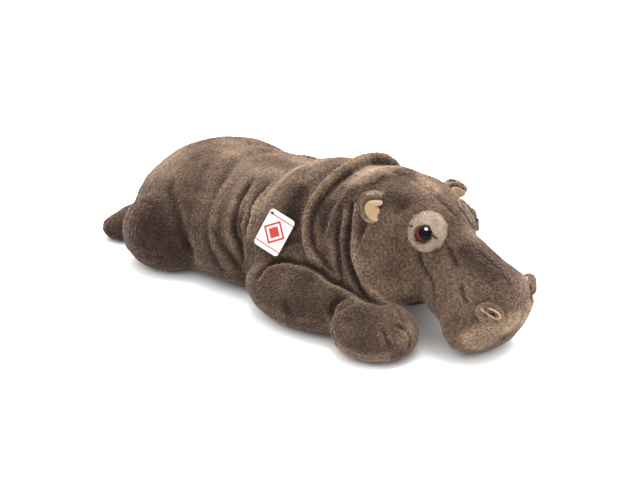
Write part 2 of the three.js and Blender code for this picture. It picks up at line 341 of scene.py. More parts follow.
# A fold starts at a small share of its height, and dies away just beyond its ends.
FOLD_START, FOLD_BEYOND = 2 * MM, 3 * MM


def beside(path, reach, taper):
    """The points within reach of a path: their distance to its left in mm, their share of its full
    height, which fades over the taper at both ends, the way to its left, and the nearest point."""
    low, high = path.min(0) - reach, path.max(0) + reach
    inside = np.nonzero(((base > low) & (base < high)).all(1))[0]
    points, outward = base[inside], base_out[inside]
    gaps = ((points[:, None, :] - path[None]) ** 2).sum(2)
    nearest = gaps.argmin(1)
    run = np.gradient(path, axis=0)
    for _ in range(3):
        run[1:-1] = (run[:-2] + run[1:-1] + run[2:]) / 3
    run /= np.linalg.norm(run, axis=1)[:, None]
    side = np.cross(outward, run[nearest])
    side /= np.linalg.norm(side, axis=1)[:, None]
    across = ((points - path[nearest]) * side).sum(1)
    beyond = np.sqrt(np.maximum(gaps.min(1) - across ** 2, 0))
    along = np.minimum(nearest, len(path) - 1 - nearest) * MM
    share = np.clip((along + FOLD_START) / taper, 0, 1)
    share = share * share * (3 - 2 * share) * np.exp(-(beyond / FOLD_BEYOND) ** 2)
    return inside, across / MM, share, side, nearest


# A roll stands this many widths beside its groove, is this many widths wide, and leans over the
# groove by this share of its height.
ROLL_PLACE, ROLL_SPREAD, ROLL_LEAN = 1.9, 1.2, 0.3
FOLD_TAPER = 14


def crease(line, depth, width, left=0.0, right=0.0, taper=FOLD_TAPER):
    """A sharp fold of this depth and width, with rolls of cloth of these heights on its sides (mm)."""
    path = course(line)
    inside, across, share, side, nearest = beside(path, 6 * width * MM, taper * MM)
    # Stitches pucker the rolls about every 7 mm, and the fold runs deeper and shallower by turns.
    pucker = 1 + 0.15 * np.sin(nearest / 1.1 + across * 0.2) * np.sin(nearest / 7.1)
    share = share * (1 + 0.2 * np.sin(nearest / 11.0 + depth))
    groove = depth * np.exp(-(np.abs(across) / width) ** 1.25)
    roll_left = left * np.exp(-((across / width - ROLL_PLACE) / ROLL_SPREAD) ** 2) * pucker
    roll_right = right * np.exp(-((across / width + ROLL_PLACE) / ROLL_SPREAD) ** 2) * pucker
    lifted[inside] += (roll_left + roll_right - groove) * share * MM
    shifted[inside] += side * ((roll_right - roll_left) * ROLL_LEAN * share * MM)[:, None]


seams = []


def seam(line):
    """A sewn seam: a shallow dip, with the pile caught short and dark in the stitches."""
    crease(line, depth=1.0, width=1.5, taper=4)
    seams.append(course(line))


def ridge(line, height, left, right, square=2.6):
    """A flat-topped raised edge that falls away over these widths (mm) on its two sides."""
    path = course(line)
    inside, across, share, _, _ = beside(path, 2.2 * max(left, right) * MM, FOLD_TAPER * MM)
    widths = np.where(across > 0, left, right)
    lifted[inside] += height * np.exp(-np.abs(across / widths) ** square) * share * MM


def mirrored(line, forward=0, onward=0):
    """The same places on the other flank, moved this far forward, or onward round the body."""
    return [(s[0] + forward, 180 - s[1] - onward) if len(s) == 2 else (s[0] + forward, -s[1], s[2])
            for s in line]


def both(make, line, shift=(0, 0), **shape):
    """The same fold on both flanks, moved a little on the left one."""
    make(line, **shape)
    swapped = {"left": shape.get("right", 0.0), "right": shape.get("left", 0.0)}
    make(mirrored(line, *shift), **{**shape, **swapped})


def over(line):
    """Carries a line that ends on the middle of the back down the far flank, up to 3 mm further back."""
    return [*line, *((x - min(3, abs(y) / 12), -y, z) for x, y, z in line[-2::-1])]


# The folds of the trunk: three close together behind the shoulder, and softer ones over the back.
both(crease, [(-53, -35, 102), (-51, -45, 98), (-47, -61, 89), (-43, -69, 83), (-37, -79, 70),
              (-34, -81, 62), (-28, -83, 56), (-23, -83, 46), (-19, -83, 37)],
     depth=7.0, width=3.0, left=1.0, right=1.5, shift=(-5, 4), taper=26)
both(crease, [(-43, -48, 96), (-41, -54, 93), (-40, -61, 88), (-36, -68, 81), (-33, -75, 73),
              (-30, -78, 66), (-25, -81, 59), (-20, -83, 49), (-16, -84, 41)],
     depth=4.0, width=2.2, shift=(-2, 4), taper=26)
both(crease, [(-34, -31, 102), (-32, -44, 97), (-32, -54, 92), (-30, -63, 85), (-26, -69, 79),
              (-25, -73, 73), (-22, -78, 65), (-18, -81, 56)],
     depth=5.5, width=2.6, left=2.5, shift=(-6, 4), taper=26)
both(crease, [(-62, -85, 66), (-48, -88, 56), (-42, -89, 50), (-33, -86, 42), (-23, -82, 29)],
     depth=2.2, width=3.2, right=0.5)
both(crease, [(-58, -70, 82), (-56, -76, 77), (-54, -81, 71), (-50, -85, 63), (-44, -87, 57)],
     depth=1.2, width=3.4)
both(crease, [(-102, 99), (-95, 66), (-82, 34), (-73, 14), (-66, -1), (-54, -13), (-40, -25)],
     depth=2.2, width=6.0, left=0.8, shift=(8, 5))
both(crease, [(-121, 73), (-111, 38), (-98, 16)], depth=1.4, width=7.0, left=0.5)
# The haunch, over which the trunk's cloth hangs, and the leg's own seam.
both(crease, [(-134, -66, 87), (-130, -71, 83), (-127, -76, 79), (-119, -80, 75), (-107, -88, 68),
              (-101, -90, 63), (-95, -92, 52), (-91, -91, 44), (-89, -89, 37), (-85, -88, 28),
              (-86, -84, 19)],
     depth=3.4, width=4.6, left=1.0, shift=(-3, 0))
both(crease, [(-96, -92, 50), (-88, -90, 40), (-82, -89, 33), (-71, -90, 28)], depth=1.8, width=2.2)
both(crease, [(-121, -103, 11), (-110, -105, 21), (-103, -104, 32), (-98, -100, 41)],
     depth=1.5, width=2.0)
# The hood's standing edge, the hollow behind it and the fold in front of it, over the whole back.
both(ridge, [(34, 90), (28, 66), (26, 46), (28, 30), (34, 14)], height=-4.5, left=9.0, right=10.0)
edge = [(76, -79, 61), (59, -76, 67), (52, -74, 76), (49, -71, 86), (46, -68, 96), (44, -62, 104),
        (45, -52, 115), (45, -35, 125), (45, -18, 131), (44, 0, 133)]
ridge(over(edge), height=4.4, left=3.0, right=5.6, square=3)
front = [(92, -78, 57), (83, -76, 62), (65, -74, 69), (57, -72, 76), (54, -70, 86), (52, -67, 96),
         (51, -60, 105), (51, -50, 113), (51, -37, 121), (51, -22, 127), (51, 0, 130)]
crease(over(front), depth=3.4, width=2.4)
# The neck's two upright folds, with a narrow roll between them, and the cheek that hangs over it.
both(crease, [(71, -51, 113), (78, -60, 103), (81, -66, 92), (85, -70, 80), (88, -71, 68), (95, -75, 59),
              (101, -77, 54)],
     depth=4.6, width=2.2)
both(crease, [(80, -46, 117), (87, -56, 107), (91, -61, 96), (94, -66, 84), (96, -67, 73),
              (102, -69, 64), (110, -71, 56), (120, -73, 50), (132, -75, 48), (146, -75, 47)],
     depth=6.0, width=2.6, left=2.5)
# The arm: the deep fold that parts it from the shoulder, its muscle, its wrist and its elbow.
both(crease, [(20, -106, 40), (21, -97, 50), (26, -90, 55), (40, -84, 59), (56, -82, 61), (74, -81, 59),
              (89, -82, 55), (99, -79, 53), (109, -78, 51), (119, -77, 48), (131, -78, 48)],
     depth=5.5, width=3.0, right=1.5)
both(crease, [(59, -112, 35), (68, -112, 27), (74, -112, 18)], depth=2.5, width=4.5)
both(crease, [(114, -82, 48), (109, -86, 46), (106, -92, 43), (105, -98, 36), (108, -106, 29),
              (117, -112, 23), (122, -113, 14)],
     depth=4.5, width=3.0, left=2.0)
# The toes are drawn in by two long stitches, and a seam runs round the sole.
both(crease, [(157, -71, 44), (163, -74, 42), (168, -77, 39)],
     depth=1.2, width=1.8, left=0.6, right=0.6, taper=5)
both(crease, [(164, -97, 37), (168, -98, 31), (172, -97, 24)],
     depth=2.0, width=1.8, left=1.2, right=1.0, taper=5)
both(crease, [(169, -84, 38), (172, -80, 35), (176, -77, 30), (178, -77, 23), (178, -80, 18)],
     depth=2.2, width=1.8, left=1.4, right=1.0, taper=5)
both(crease, [(137, -114, 15), (146, -112, 10), (158, -106, 10), (168, -99, 12), (175, -88, 14),
              (177, -80, 17)],
     depth=1.5, width=2.0)

# The seams of the head: along the crown and the bridge of the nose, behind the ears and down the
# cheeks. A fold of the lip stands out over the jaw.
seam([(74, 8, 132), (84, 1, 132), (90, 6, 131), (115, -3, 134), (135, -4, 128), (151, -3, 119),
      (162, 0, 111)])
seam([(194, -9, 91), (207, -9, 84), (217, -10, 80), (225, -10, 75), (230, -10, 70)])
seam([(81, -28, 127), (86, -22, 128), (85, -12, 131), (84, 1, 132), (85, 14, 131), (84, 26, 128)])
both(crease, [(103, -50, 107), (103, -56, 97), (101, -61, 87)], depth=1.5, width=2.0, left=1.0)
for sign in (1, -1):
    seam([(153, -39 * sign, 86), (155, -40 * sign, 78), (161, -40 * sign, 71),
          (171, -44 * sign, 66), (176, -47 * sign, 59), (178, -48 * sign, 53)])
    seam([(173, -25 * sign, 92), (181, -28 * sign, 87), (188, -31 * sign, 82)])
both(ridge, [(228, -36, 36), (234, -26, 38), (237, -12, 40), (237, 0, 41)],
     height=1.8, left=7.0, right=9.0)
both(crease, [(215, -45, 46), (229, -40, 50), (236, -22, 51), (237, -8, 52), (237, 4, 53)],
     depth=1.2, width=2.4)
both(crease, [(200, -43, 74), (205, -45, 67), (212, -46, 59)], depth=3.4, width=1.8, left=1.0, taper=5)

# The whole skin is a little uneven, and sinks under the coat by the coat's depth.
skin_points = base + base_out * lifted[:, None] + shifted
lumps = ripple(base, 34 * MM, 5) * 0.9 + ripple(base, 13 * MM, 6) * 0.35
skin_points += base_out * lumps[:, None] * MM
skin_points = eased(skin_points, skin_mesh, 2)
move_to(skin_mesh, skin_points)
skin_points -= normals(skin_mesh) * COAT_DEPTH
move_to(skin_mesh, skin_points)

# ---- Plush: the pile and the cloth under it -----------------------------------------------------
# Long polyester pile, brushed after sewing: dark at its roots, partly as painted shade down in the
# pile, paler at its tips, and blotched where the brush has turned it. Each tuft is a thin bent blade
# that lies along the body.

PLUSH_SHEEN = "b49a89"
CURL_DEPTH = 2.0 * MM


def attribute(mesh, name, values):
    """Gives each vertex a number that the materials read."""
    layer = mesh.attributes.new(name, "FLOAT", "POINT")
    layer.data.foreach_set("value", np.asarray(values, np.float32))


def plush(name, roots, tips, pale_roots, pale_tips, grit=1.0):
    """Brushed plush: no gloss, a soft sheen where it turns away, and pale and dark clouds.

    It is darker towards the pile's roots, where it parts, partly as painted shade down in the pile,
    and paler at its tips and where the tone is pale, which carries painted light and shade. The curls
    are about 2 mm wide, as coarse as they need to be to show, and the clouds about 18 mm.
    """
    made, tree, shader = material_of(name, {
        "Roughness": 0.85, "Specular IOR Level": 0.15,
        "Sheen Weight": 1.0, "Sheen Roughness": 0.35, "Sheen Tint": linear(PLUSH_SHEEN)})
    place = add(tree, "TexCoord").outputs["Object"]
    clouds = add(tree, "TexNoise", values={"Scale": 55, "Detail": 3, "Roughness": 0.6},
                 links={"Vector": place})
    curls = add(tree, "TexNoise", values={"Scale": 460, "Detail": 3}, links={"Vector": place})
    tip = add(tree, "Attribute", {"attribute_name": "tip"}).outputs["Fac"]
    tone = add(tree, "Attribute", {"attribute_name": "tone"}).outputs["Fac"]
    shade = add(tree, "Attribute", {"attribute_name": "shade"}).outputs["Fac"]
    low = add(tree, "Mix", {"data_type": "RGBA"}, {6: linear(roots), 7: linear(pale_roots)}, {0: tone})
    high = add(tree, "Mix", {"data_type": "RGBA"}, {6: linear(tips), 7: linear(pale_tips)}, {0: tone})
    mixed = add(tree, "Mix", {"data_type": "RGBA"}, links={0: tip, 6: low.outputs[2], 7: high.outputs[2]})
    blotch = add(tree, "MapRange", values={1: 0.3, 2: 0.7, 3: 0.86, 4: 1.12},
                 links={0: clouds.outputs["Fac"]})
    fleck = add(tree, "MapRange", values={1: 0.38, 2: 0.62, 3: 1 - 0.4 * grit, 4: 1 + 0.4 * grit},
                links={0: curls.outputs["Fac"]})
    light = add(tree, "Math", {"operation": "MULTIPLY"}, links={0: blotch.outputs[0], 1: fleck.outputs[0]})
    each = add(tree, "Math", {"operation": "ADD"}, {1: 0.55}, {0: shade})
    strength = add(tree, "Math", {"operation": "MULTIPLY"}, links={0: light.outputs[0], 1: each.outputs[0]})
    colour = add(tree, "VectorMath", {"operation": "SCALE"},
                 links={0: mixed.outputs[2], "Scale": strength.outputs[0]})
    relief = add(tree, "Bump", values={"Strength": 1.0, "Distance": CURL_DEPTH * grit},
                 links={"Height": curls.outputs["Fac"]})
    tree.links.new(colour.outputs[0], shader.inputs["Base Color"])
    tree.links.new(relief.outputs[0], shader.inputs["Normal"])
    return made


brown_plush = plush("brown_plush", "201512", "432f28", "69513f", "c0a387")

# A blade has five corners, in three triangles: two at its root, two half way up, and its tip. It
# bends towards the cloth at half its length. Its patch of the bake map is 3 mm across.
BLADE_FACES = np.array([0, 3, 1, 0, 2, 3, 2, 4, 3])
BLADE_TIPS = [0.0, 0.0, 0.55, 0.55, 1.0]
BLADE_PATCH = np.array([[-1, -1], [1, -1], [-1, 0], [1, 0], [0, 1]]) * 0.0015
BLADE_BEND, BLADE_WAIST = 0.35, 0.85
FLOOR_GAP = 0.1 * MM


def blades(name, material, roots, outward, along, length, width, lean, shades, tones, facing, flat):
    """One mesh of bent blades. Facing is the way that each one catches the light."""
    count = len(roots)
    side = np.cross(outward, along)
    rise, run = np.sin(lean)[:, None], np.cos(lean)[:, None]
    first = (along * run + outward * rise) * (length * 0.5)[:, None]
    second = (along * (run + BLADE_BEND) + outward * rise * BLADE_BEND)
    second *= (length * 0.5 / np.linalg.norm(second, axis=1))[:, None]
    half = side * width * 0.5
    waist = half * BLADE_WAIST
    middle = roots + first
    corners = np.stack([roots - half, roots + half, middle - waist, middle + waist, middle + second], 1)
    corners[..., 2] = np.maximum(corners[..., 2], FLOOR_GAP)
    faces = (np.arange(count)[:, None] * 5 + BLADE_FACES).ravel()
    mesh = bpy.data.meshes.new(name)
    mesh.vertices.add(count * 5)
    mesh.vertices.foreach_set("co", corners.astype(np.float32).ravel())
    mesh.loops.add(count * 9)
    mesh.loops.foreach_set("vertex_index", faces.astype(np.int32))
    mesh.polygons.add(count * 3)
    mesh.polygons.foreach_set("loop_start", (np.arange(count * 3) * 3).astype(np.int32))
    mesh.update(calc_edges=True)
    mesh.polygons.foreach_set("use_smooth", np.ones(count * 3, bool))
    attribute(mesh, "tip", np.tile(BLADE_TIPS, count))
    attribute(mesh, "shade", np.repeat(shades, 5))
    attribute(mesh, "tone", np.repeat(tones, 5))
    spots = (flat[:, None, :] + BLADE_PATCH).reshape(-1, 2)
    layer = mesh.uv_layers.new(name="OFBake")
    layer.uv.foreach_set("vector", spots[faces].astype(np.float32).ravel())
    mesh.materials.append(material)
    mesh.normals_split_custom_set_from_vertices(np.repeat(facing, 5, 0).tolist())
    return linked(bpy.data.objects.new(name, mesh))


MAP_MARGIN = 0.01


def unwrapped(points, start, end):
    """Lays a surface flat round the line from start to end, with a cap at both ends."""
    start, end = np.array(start), np.array(end)
    axis = end - start
    length = np.linalg.norm(axis)
    axis = axis / length
    across = np.cross(axis, [0, 0, 1])
    across /= np.linalg.norm(across)
    up = np.cross(across, axis)
    share = np.clip((points - start) @ axis, 0, length)
    away = points - start - share[:, None] * axis
    far = np.linalg.norm(away, axis=1)
    turn = np.arctan2(away @ up, away @ across) / (2 * math.pi) + 0.5
    radius = np.median(far)
    tilt = np.arccos(np.clip(-(away @ axis) / far, -1, 1))
    down = (share + tilt * radius) / (length + math.pi * radius)
    return MAP_MARGIN + (1 - 2 * MAP_MARGIN) * np.stack([turn, down], 1)


# How unlike its neighbours a tuft is: in its direction, length, lean, shade and gloss.
TUFT_STRAY, TUFT_LENGTHS, TUFT_TILT, TUFT_SHADE, TUFT_GLOSS = 0.22, (0.7, 1.25), 9, 0.05, 0.06
CLUMP, CLUMP_SHADE, CLUMP_GLOSS = 2.0 * MM, 0.1, 0.3
ROOT_DEPTH = 0.3 * MM


def coat(name, mesh, chosen, count, length, width, lean, flow, tone, ends, material, seed):
    """Grows tufts on the chosen points' faces. Length, tone and flow are given at each point."""
    rng = np.random.default_rng(seed)
    mesh.calc_loop_triangles()
    corners = read(mesh.loop_triangles, "vertices", 3, np.int32)
    corners = corners[chosen[corners[:, 0]]]
    points = read(mesh.vertices, "co", 3)
    a, b, c = points[corners].transpose(1, 0, 2)
    area = np.cumsum(np.linalg.norm(np.cross(b - a, c - a), axis=1).astype(float))
    pick = np.searchsorted(area, rng.random(count) * area[-1])
    u, v = np.sqrt(rng.random(count)), rng.random(count)
    weights = np.stack([1 - u, u * (1 - v), u * v], 1)

    def at_roots(values):
        corner_weights = weights.reshape(count, 3, *[1] * (values.ndim - 1))
        return (values[corners[pick]] * corner_weights).sum(1)

    roots, out, way = at_roots(points), at_roots(normals(mesh)), at_roots(flow)
    out /= np.linalg.norm(out, axis=1)[:, None]
    way = way / np.linalg.norm(way, axis=1)[:, None] + rng.normal(0, TUFT_STRAY, (count, 3))
    way -= (way * out).sum(1)[:, None] * out
    way /= np.linalg.norm(way, axis=1)[:, None]
    long = at_roots(length) * rng.uniform(*TUFT_LENGTHS, count)
    tilt = np.radians(lean + rng.normal(0, TUFT_TILT, count))
    clump = np.stack([ripple(roots, CLUMP, wave) for wave in (51, 52, 53)], 1)
    shades = rng.normal(0, TUFT_SHADE, count) + clump[:, 2] * CLUMP_SHADE
    roots = roots - out * ROOT_DEPTH
    facing = out - 0.12 * way + rng.normal(0, TUFT_GLOSS, (count, 3)) + clump * CLUMP_GLOSS
    facing /= np.linalg.norm(facing, axis=1)[:, None]
    flat = unwrapped(roots, *ends)
    piece = blades(name, material, roots, out, way, long, width, tilt, shades, at_roots(tone), facing, flat)
    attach(piece, "root")
    return piece


def joined(mesh, name, material, slot, *nodes):
    """Makes a smooth piece of a mesh and joins it to the model in place of CAD nodes."""
    mesh.polygons.foreach_set("use_smooth", np.ones(len(mesh.polygons), bool))
    mesh.materials.append(material)
    piece = linked(bpy.data.objects.new(name, mesh))
    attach(piece, "root")
    if nodes:
        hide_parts(*nodes)
    return piece


# The pile lies back and down, swirled by the brush. It is shortest on the face and the paws, and
# caught short in the seams.
BODY_PILE, FACE_PILE = 2.5 * MM, 2.1 * MM
STITCH_REACH = 1.6 * MM
skin_flow = np.tile([-0.85, 0.0, -0.5], (len(base), 1))
skin_flow += np.stack([ripple(base, 26 * MM, seed) for seed in (1, 2, 3)], 1) * 1.5
skin_length = np.full((len(base), 1), BODY_PILE)
skin_length[of("head", "muzzle", *FOREPAWS)] = FACE_PILE
skin_length = averaged(skin_length, skin_mesh, 6)[:, 0]
stitches = tree_of(np.concatenate(seams).tolist())
caught = np.exp(-(np.array([stitches.find(q)[2] for q in base.tolist()]) / STITCH_REACH) ** 2)
skin_length *= 1 - 0.5 * caught

# Its tone, 0 to 1, differs a little at random and is darker in the seams. Over that it carries
# painted light and shade: paler higher up, on the tops and rolls, and darker down in the folds.
TONES = [(0.33, ["head", "muzzle"]), (0.1, ["neck", *FOREARMS]), (0.19, FOREPAWS),
         (0.0, HAUNCHES), (0.08, ["tail"])]
# Paler higher up the body: painted light from above.
skin_tone = 0.11 + 0.17 * past(base[:, 2:], 50, 40)
for tone, pieces in TONES:
    skin_tone[of(*pieces)] = tone
skin_tone = averaged(skin_tone, skin_mesh, 20)[:, 0]


def paint(line, amount, width):
    """Paints light or shade into the pile's tone, by this amount along a line over the body, on both flanks.
    """
    for places in (line, mirrored(line)):
        inside, across, share, _, _ = beside(course(places), 2.5 * width * MM, 1.2 * width * MM)
        skin_tone[inside] += amount * np.exp(-(across / width) ** 2) * np.clip(share * 1.5, 0, 1)


# The trunk: painted light over the rump, the haunch, the back and the shoulder's rolls, and painted
# shade in the hollow on the shoulder behind the hood's edge.
paint([(-130, 110), (-115, 92), (-95, 76)], 0.25, width=22)
paint([(-158, -20, 95), (-158, -50, 80), (-160, -60, 60)], 0.4, width=24)
paint([(-140, -78, 86), (-120, -80, 84)], 0.15, width=10)
paint([(-93, 24, 102), (-47, 18, 105), (9, 1, 123)], 0.4, width=14)
paint([(-54, -25, 104), (-45, -52, 94), (-41, -66, 84)], 0.15, width=6)
paint([(-16, -13, 115), (-19, -36, 106), (-21, -55, 94), (-21, -69, 79), (-15, -80, 61)], 0.4, width=6)
paint([(15, -41, 115), (17, -54, 107), (22, -65, 97), (33, -72, 83), (40, -76, 71)], -0.42, width=9)
# The hood and the neck: painted light on top and along the neck's roll, painted shade in the fold
# at the side.
paint([(51, -15, 127), (56, 1, 128), (73, 3, 132), (85, 6, 132)], 0.7, width=9)
paint([(66, -34, 121), (68, -18, 127), (72, -6, 131)], 0.75, width=13)
paint([(56, -48, 111), (63, -58, 99), (70, -66, 88)], -0.45, width=11)
paint([(72, -68, 84), (80, -71, 77), (87, -73, 68)], 0.25, width=5)
# The head: darker over the ear, and painted light on the crown and along the cheek's edge.
paint([(104, -31, 126), (121, -32, 123), (132, -31, 119)], -0.3, width=9)
paint([(117, -9, 134), (127, 0, 131), (139, 5, 126)], 0.35, width=9)
paint([(100, -61, 89), (102, -64, 76), (108, -66, 67)], 0.4, width=4)
paint([(109, -64, 72), (122, -65, 57), (138, -58, 51), (151, -42, 52)], 0.2, width=8)
# The muzzle: darker on the bridge of the nose, and paler round the lip, partly painted light from
# the floor below.
paint([(178, -15, 97), (198, -16, 87), (213, -16, 81), (226, -14, 73)], -0.3, width=14)
paint([(218, -40, 14), (230, -26, 16), (235, -10, 20)], 0.45, width=9)
paint([(205, -46, 26), (222, -36, 30), (236, -20, 36), (237, 0, 38)], 0.9, width=13)
# The forepaw: darker on top, partly painted shade, and painted light along the sole and over the
# toes.
paint([(121, -98, 41), (144, -97, 44), (161, -91, 41)], -0.15, width=12)
paint([(125, -114, 8), (150, -108, 8), (172, -92, 10)], 0.5, width=8)
paint([(178, -92, 25), (179, -78, 30), (172, -62, 36)], 0.5, width=7)
skin_tone += ripple(base, 22 * MM, 11) * 0.12 - 0.4 * caught
skin_tone = np.clip(skin_tone, 0, 1)

# Painted shade down in the folds and painted light along the rolls' crests, by how far each point was pressed
# in or lifted.
depth = lifted / MM - averaged((lifted / MM)[:, None], skin_mesh, 16)[:, 0]
skin_tone = np.clip(skin_tone + np.clip(depth * 0.22, -0.6, 0.35), 0, 1)

attribute(skin_mesh, "tone", skin_tone)
attribute(skin_mesh, "tip", np.full(len(base), 0.55))
skin = joined(skin_mesh, "body_skin", brown_plush, "plush", *FLESH)

# Each coat piece has its points, its number of tufts and the line that it is unwrapped round.
ahead, trunk = skin_points[:, 0], of("trunk")
COATS = {
    "coat_rump": (trunk & (ahead < -0.10), 52000, ((-0.16, 0, 0.05), (-0.06, 0, 0.05))),
    "coat_back": (trunk & (ahead >= -0.10) & (ahead < -0.02), 45000, ((-0.10, 0, 0.05), (-0.02, 0, 0.05))),
    "coat_shoulders": (trunk & (ahead >= -0.02), 46000, ((-0.02, 0, 0.06), (0.05, 0, 0.06))),
    "coat_neck": (of("neck", "hood"), 52000, ((0.04, 0, 0.06), (0.10, 0, 0.06))),
    "coat_head": (of("head"), 56000, ((0.10, 0, 0.06), (0.16, 0, 0.06))),
    "coat_muzzle": (of("muzzle"), 54000, ((0.17, 0, 0.06), (0.21, 0, 0.05))),
    "coat_right_arm": (of("foreleg_right", "forepaw_right"), 50000,
                       ((0.02, -0.075, 0.03), (0.15, -0.078, 0.03))),
    "coat_left_arm": (of("foreleg_left", "forepaw_left"), 34000, ((0.0, 0.075, 0.03), (0.11, 0.078, 0.03))),
    "coat_haunches": (of(*HAUNCHES, "tail"), 42000, ((-0.15, 0.0, 0.03), (-0.13, 0.0, 0.03))),
}
for seed, (name, (chosen, count, ends)) in enumerate(COATS.items()):
    coat(name, skin_mesh, chosen, count, skin_length, width=0.8 * MM, lean=40, flow=skin_flow, tone=skin_tone,
         ends=ends, material=brown_plush, seed=seed)

# ---- Ears: two small leaves of plush, each lined with suede and pinched together at its root ----
# Each leaf is cut as a fan, and its two lobes curl forward round the pinch. The suede is cut a
# little smaller and glued in, so that the plush stands round it as a furry rim.

EAR_REACH, EAR_LOBE, EAR_BACK, EAR_WALL = 15.0, 14.5, 8.5, 4.4
LINING_SHARE, LINING_WALL, LINING_STEP, LINING_SHIFT = 0.84, 0.8, 3.0, (1.0, 0.9, -1.0)
EARS = {
    "right": dict(root=(105.5, -43.5, 119), axis=(-0.68, -0.7, 0.18), lobe=(0.21, 0.0, 0.98),
                  curl=11.0, spread=156, size=0.88),
    "left": dict(root=(114, 44.5, 102.5), axis=(-0.1, 0.1, 0.98), lobe=(0, -0.85, -0.5),
                 curl=13.0, spread=85, size=1.0),
}


def softened(made, rounds):
    """Rounds the edges of a bmesh."""
    for _ in range(rounds):
        bmesh.ops.smooth_vert(made, verts=made.verts[:], factor=0.5,
                              use_axis_x=True, use_axis_y=True, use_axis_z=True)


def leaf(root, axis, lobe, curl, spread, size, wall, step):
    """A curled fan of cloth: its axis runs out from the root, and its lobes lie along `lobe`.

    It spreads this many degrees to both sides of the axis, and lies a step in front of the root.
    """
    axis = Vector(axis).normalized()
    lobe = Vector(lobe)
    lobe = (lobe - axis * lobe.dot(axis)).normalized()
    front = lobe.cross(axis) * (1 if root[1] < 0 else -1)
    made = bmesh.new()
    bmesh.ops.create_grid(made, x_segments=52, y_segments=12, size=1)
    for vert in made.verts:
        turn, reach = spread * vert.co.x, max(0.06, 0.5 + vert.co.y / 2)
        # The fan's edge is rounded off towards its two ends, and its rim and lobes curl the most.
        reach *= math.sqrt(1 - 0.97 * max(0, abs(turn) / spread * 2.7 - 1.7) ** 2)
        forward, sideways = math.cos(math.radians(turn)), math.sin(math.radians(turn))
        out = axis * (forward * (EAR_REACH if forward > 0 else EAR_BACK)) + lobe * (sideways * EAR_LOBE)
        lift = curl * reach ** 1.7 * (0.35 + 0.65 * sideways ** 2)
        vert.co = (Vector(root) + out * reach * size + front * (lift * size + step)) * MM
    if root[1] > 0:
        bmesh.ops.reverse_faces(made, faces=made.faces[:])
    made.normal_update()
    bmesh.ops.solidify(made, geom=made.faces[:], thickness=wall * MM)
    bmesh.ops.recalc_face_normals(made, faces=made.faces[:])
    softened(made, 4)
    if made.calc_volume(signed=True) < 0:
        bmesh.ops.reverse_faces(made, faces=made.faces[:])
    return made, front


def in_order(made):
    """Sorts a bmesh's faces by their vertices, because solidify leaves their order to chance."""
    made.verts.index_update()
    count = len(made.verts)

    def rank(face):
        first, second, third = sorted(vert.index for vert in face.verts)[:3]
        return (first * count + second) * count + third

    made.faces.sort(key=rank)


def finished(made, name, material, slot, *nodes):
    """Makes a smooth piece of a bmesh and joins it to the model in place of CAD nodes."""
    in_order(made)
    bmesh.ops.triangulate(made, faces=made.faces[:])
    mesh = bpy.data.meshes.new(name)
    made.to_mesh(mesh)
    made.free()
    return joined(mesh, name, material, slot, *nodes)


def suede(name, colour, pale):
    """Fine microfibre suede: no gloss, a short even nap, and faint clouds where it has been touched.

    The nap is 0.4 mm wide and the clouds 6 mm.
    """
    made, tree, shader = material_of(name, {"Roughness": 0.9, "Specular IOR Level": 0.2, "Sheen Weight": 0.5})
    place = add(tree, "TexCoord").outputs["Object"]
    cloud = add(tree, "TexNoise", values={"Scale": 160, "Detail": 2}, links={"Vector": place})
    nap = add(tree, "TexNoise", values={"Scale": 2500, "Detail": 1}, links={"Vector": place})
    tint = add(tree, "Mix", {"data_type": "RGBA"}, {6: linear(colour), 7: linear(pale)},
               {0: cloud.outputs["Fac"]})
    bump = add(tree, "Bump", values={"Strength": 0.35, "Distance": 0.3 * MM},
               links={"Height": nap.outputs["Fac"]})
    tree.links.new(tint.outputs[2], shader.inputs["Base Color"])
    tree.links.new(bump.outputs[0], shader.inputs["Normal"])
    return made


tan_suede = suede("tan_suede", "917354", "a38764")
ear_plush = plush("ear_plush", "4a382c", "806653", "8a7260", "dcc2a8", grit=0.8)

for seed, (side, cut) in enumerate(EARS.items()):
    made, front = leaf(**cut, wall=EAR_WALL, step=0)
    ear = finished(made, f"ear_cloth_{side}", ear_plush, "plush", f"ear_{side}")
    mesh, root = ear.data, np.array(cut["root"]) * MM
    points, outward = read(mesh.vertices, "co", 3), normals(mesh)
    # Painted light: the ear's plush is paler where it faces up and darker where it faces down.
    tones = np.clip(0.65 + 0.4 * outward[:, 2], 0, 1)
    attribute(mesh, "tone", tones)
    away = points - root
    far = np.linalg.norm(away, axis=1)
    furred = (outward @ np.array(front) < 0.35) | (far > 0.86 * far.max())
    coat(f"coat_ear_{side}", mesh, furred, 14000, np.full(len(points), 2.6 * MM), width=0.6 * MM, lean=55,
         flow=away / far[:, None], tone=tones, ends=(root, root + np.array(cut["axis"]) * EAR_REACH * MM),
         material=ear_plush, seed=40 + seed)
    outwards = math.copysign(1, -cut["root"][1])
    inset = np.array(cut["root"]) + np.array(LINING_SHIFT) * (1, outwards, 1)
    lining = {**cut, "root": inset, "size": LINING_SHARE * cut["size"]}
    made, _ = leaf(**lining, wall=LINING_WALL, step=LINING_STEP)
    finished(made, f"ear_suede_{side}", tan_suede, "suede", f"ear_lining_{side}")
